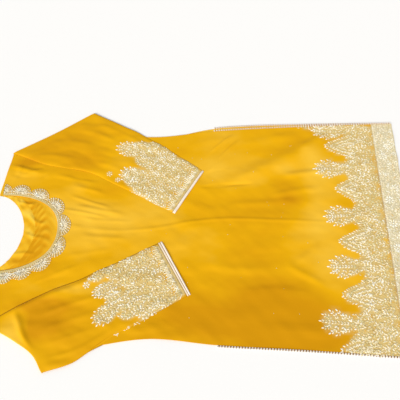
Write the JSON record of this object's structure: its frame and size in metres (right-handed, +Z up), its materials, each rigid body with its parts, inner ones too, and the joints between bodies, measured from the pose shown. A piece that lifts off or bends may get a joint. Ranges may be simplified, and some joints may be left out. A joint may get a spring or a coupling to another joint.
{
  "type": "embroidered kameez tunic",
  "caption": "Long-sleeved kameez tunic laid flat on its back, sleeves folded in over the front, with scalloped neck trim, embroidered cuffs and a dense embroidered hem.",
  "frame": {"origin": "middle of the outline, on the surface that the garment lies on", "axes": "+X from the neck to the hem, +Y to the wearer's left, +Z up from the back to the front of the garment"},
  "size_m": [1.0028, 0.6632, 0.0064],
  "materials": {
    "cloth": "thin mustard-yellow woven cloth, soft sheen",
    "facing": "inside of the same cloth, a little brighter",
    "embroidery": "cream and silver-gold thread, sequins and beads",
    "piping": "pale corded trim"
  },
  "bodies": {
    "root": {"back_panel": "cloth", "front_panel": "cloth", "front_hem_border": "embroidery", "sleeve_left": "cloth", "sleeve_right": "cloth", "cuff_trim_left": "piping", "cuff_trim_right": "piping", "neck_trim": "embroidery", "back_neck_facing": "facing", "back_slit_edging_left": "embroidery", "back_slit_edging_right": "embroidery", "front_slit_edging_left": "embroidery", "front_slit_edging_right": "embroidery"}
  },
  "joints": []
}
